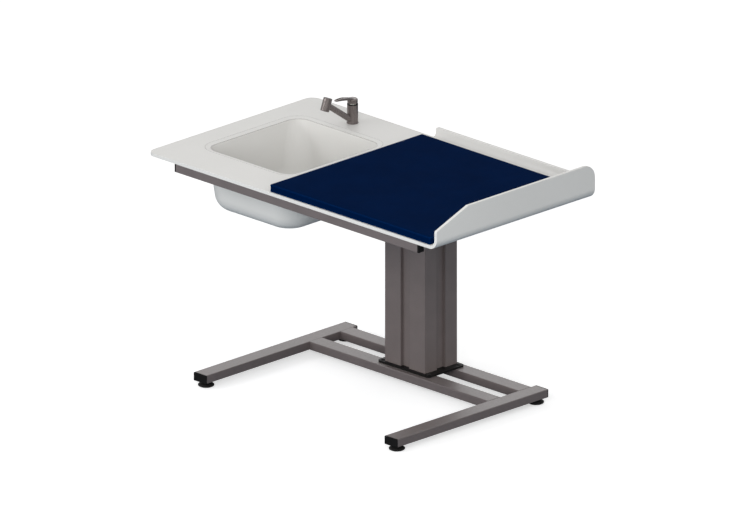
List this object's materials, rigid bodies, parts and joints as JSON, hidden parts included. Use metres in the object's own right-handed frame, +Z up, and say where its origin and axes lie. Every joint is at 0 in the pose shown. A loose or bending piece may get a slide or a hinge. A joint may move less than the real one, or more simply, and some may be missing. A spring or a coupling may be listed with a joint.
{
  "type": "changing table with washbasin",
  "caption": "Height-adjustable changing table: white worktop with raised guards, moulded washbasin, pull-out spray tap, dark blue mattress, telescopic column and steel base.",
  "frame": {"origin": "on the floor under the middle of the table's outline", "axes": "+Z up, -Y the front edge where the carer stands, +X towards the end guard"},
  "size_m": [1.4, 0.82, 0.9241],
  "materials": {
    "solid_surface": "satin mineral-filled sheet",
    "chrome_waste": "polished",
    "black_nut": "matt",
    "rubber_seal": "matt",
    "chrome_plug": "polished",
    "mattress_cover": "coated, wipe-clean",
    "frame_paint": "satin powder coat",
    "column_paint": "satin powder coat",
    "inner_column_paint": "satin powder coat",
    "black_plastic": "matt",
    "black_paint": "satin",
    "glide_plastic": "waxy",
    "zinc_screws": "zinc plated",
    "black_screws": "black oxide",
    "motor_paint": "satin",
    "bearing_steel": "ground",
    "spindle_steel": "ground",
    "bronze_nut": "turned",
    "box_plastic": "fine texture",
    "key_plastic": "fine texture",
    "tap_metal": "brushed",
    "brass_parts": "turned",
    "black_ring": "matt",
    "cartridge_plastic": "matt",
    "nozzle_plastic": "matt",
    "hose_steel": "braided",
    "foot_rubber": "matt",
    "foot_steel": "zinc plated"
  },
  "bodies": {
    "base": {"left_leg": "frame_paint", "right_leg": "frame_paint", "front_crossbar": "frame_paint", "rear_crossbar": "frame_paint", "leg_end_caps": "black_plastic", "foot_nuts": "zinc_screws", "column_base_plate": "black_paint", "base_plate_screws": "black_screws", "outer_column": "column_paint", "upper_glide": "glide_plastic", "column_collar": "black_plastic", "lift_motor": "motor_paint", "spindle_bearing": "bearing_steel"},
    "lift": {"inner_column": "inner_column_paint", "lower_glide": "glide_plastic", "nut_carrier": "black_paint", "spindle_nut": "bronze_nut", "column_top_plate": "black_paint", "top_plate_screws": "zinc_screws", "front_rail": "frame_paint", "rear_rail": "frame_paint", "left_cross_rail": "frame_paint", "middle_cross_rail": "frame_paint", "right_cross_rail": "frame_paint", "rail_end_caps": "black_plastic", "worktop": "solid_surface", "end_guard": "solid_surface", "back_guard": "solid_surface", "basin_ring": "solid_surface", "basin_bowl": "solid_surface", "waste_body": "chrome_waste", "waste_seal": "rubber_seal", "waste_nut": "black_nut", "control_box": "box_plastic", "hand_switch": "box_plastic", "tap_base_ring": "tap_metal", "tap_body": "tap_metal", "tap_shank": "brass_parts", "tap_washer": "rubber_seal", "tap_nut": "brass_parts", "tap_seal_ring": "black_ring", "tap_cartridge": "cartridge_plastic"},
    "spindle": {"lift_spindle": "spindle_steel"},
    "pad": {"mattress": "mattress_cover"},
    "plug": {"waste_plug": "chrome_plug"},
    "stem": {"cartridge_stem": "brass_parts"},
    "lever": {"tap_lever": "tap_metal"},
    "spray": {"spray_head": "tap_metal", "spray_nozzle": "nozzle_plastic", "spray_hose": "hose_steel"},
    "up_button": {"up_key": "key_plastic"},
    "down_button": {"down_key": "key_plastic"},
    "front_left_foot": {"front_left_foot_pad": "foot_rubber", "front_left_foot_stem": "foot_steel"},
    "front_right_foot": {"front_right_foot_pad": "foot_rubber", "front_right_foot_stem": "foot_steel"},
    "rear_left_foot": {"rear_left_foot_pad": "foot_rubber", "rear_left_foot_stem": "foot_steel"},
    "rear_right_foot": {"rear_right_foot_pad": "foot_rubber", "rear_right_foot_stem": "foot_steel"}
  },
  "joints": [
    {"name": "column_lift", "type": "slide", "parent": "base", "child": "lift", "axis": [0, 0, 1], "range_m": [0, 0.3]},
    {"name": "spindle_turn", "type": "hinge", "parent": "base", "child": "spindle", "pos_m": [0, 0.214, 0.2], "axis": [0, 0, 1], "range_deg": [-13510, 0]},
    {"name": "mattress_lift_off", "type": "slide", "parent": "lift", "child": "pad", "axis": [0, 0, 1], "range_m": [0, 0.2]},
    {"name": "plug_lift_out", "type": "slide", "parent": "lift", "child": "plug", "axis": [0, 0, 1], "range_m": [0, 0.15]},
    {"name": "lever_swing", "type": "hinge", "parent": "lift", "child": "stem", "pos_m": [-0.409, 0.293, 0.87], "axis": [0, 0, 1], "range_deg": [-45, 45]},
    {"name": "lever_tilt", "type": "hinge", "parent": "stem", "child": "lever", "pos_m": [-0.409, 0.301, 0.876], "axis": [-1, 0, 0], "range_deg": [0, 20]},
    {"name": "spray_pull_out", "type": "slide", "parent": "lift", "child": "spray", "axis": [0, -0.8141, 0.5807], "range_m": [0, 0.09]},
    {"name": "up_press", "type": "slide", "parent": "lift", "child": "up_button", "axis": [0, 0, 1], "range_m": [0, 0.0015], "stiffness_N_per_m": 600, "springref_m": -0.002},
    {"name": "down_press", "type": "slide", "parent": "lift", "child": "down_button", "axis": [0, 0, 1], "range_m": [0, 0.0015], "stiffness_N_per_m": 600, "springref_m": -0.002},
    {"name": "front_left_foot_level", "type": "slide", "parent": "base", "child": "front_left_foot", "axis": [0, 0, -1], "range_m": [0, 0.012]},
    {"name": "front_right_foot_level", "type": "slide", "parent": "base", "child": "front_right_foot", "axis": [0, 0, -1], "range_m": [0, 0.012]},
    {"name": "rear_left_foot_level", "type": "slide", "parent": "base", "child": "rear_left_foot", "axis": [0, 0, -1], "range_m": [0, 0.012]},
    {"name": "rear_right_foot_level", "type": "slide", "parent": "base", "child": "rear_right_foot", "axis": [0, 0, -1], "range_m": [0, 0.012]}
  ],
  "couplings": [
    {"joint": "spindle_turn", "follows": "column_lift", "rad_per_m": -785.4}
  ]
}
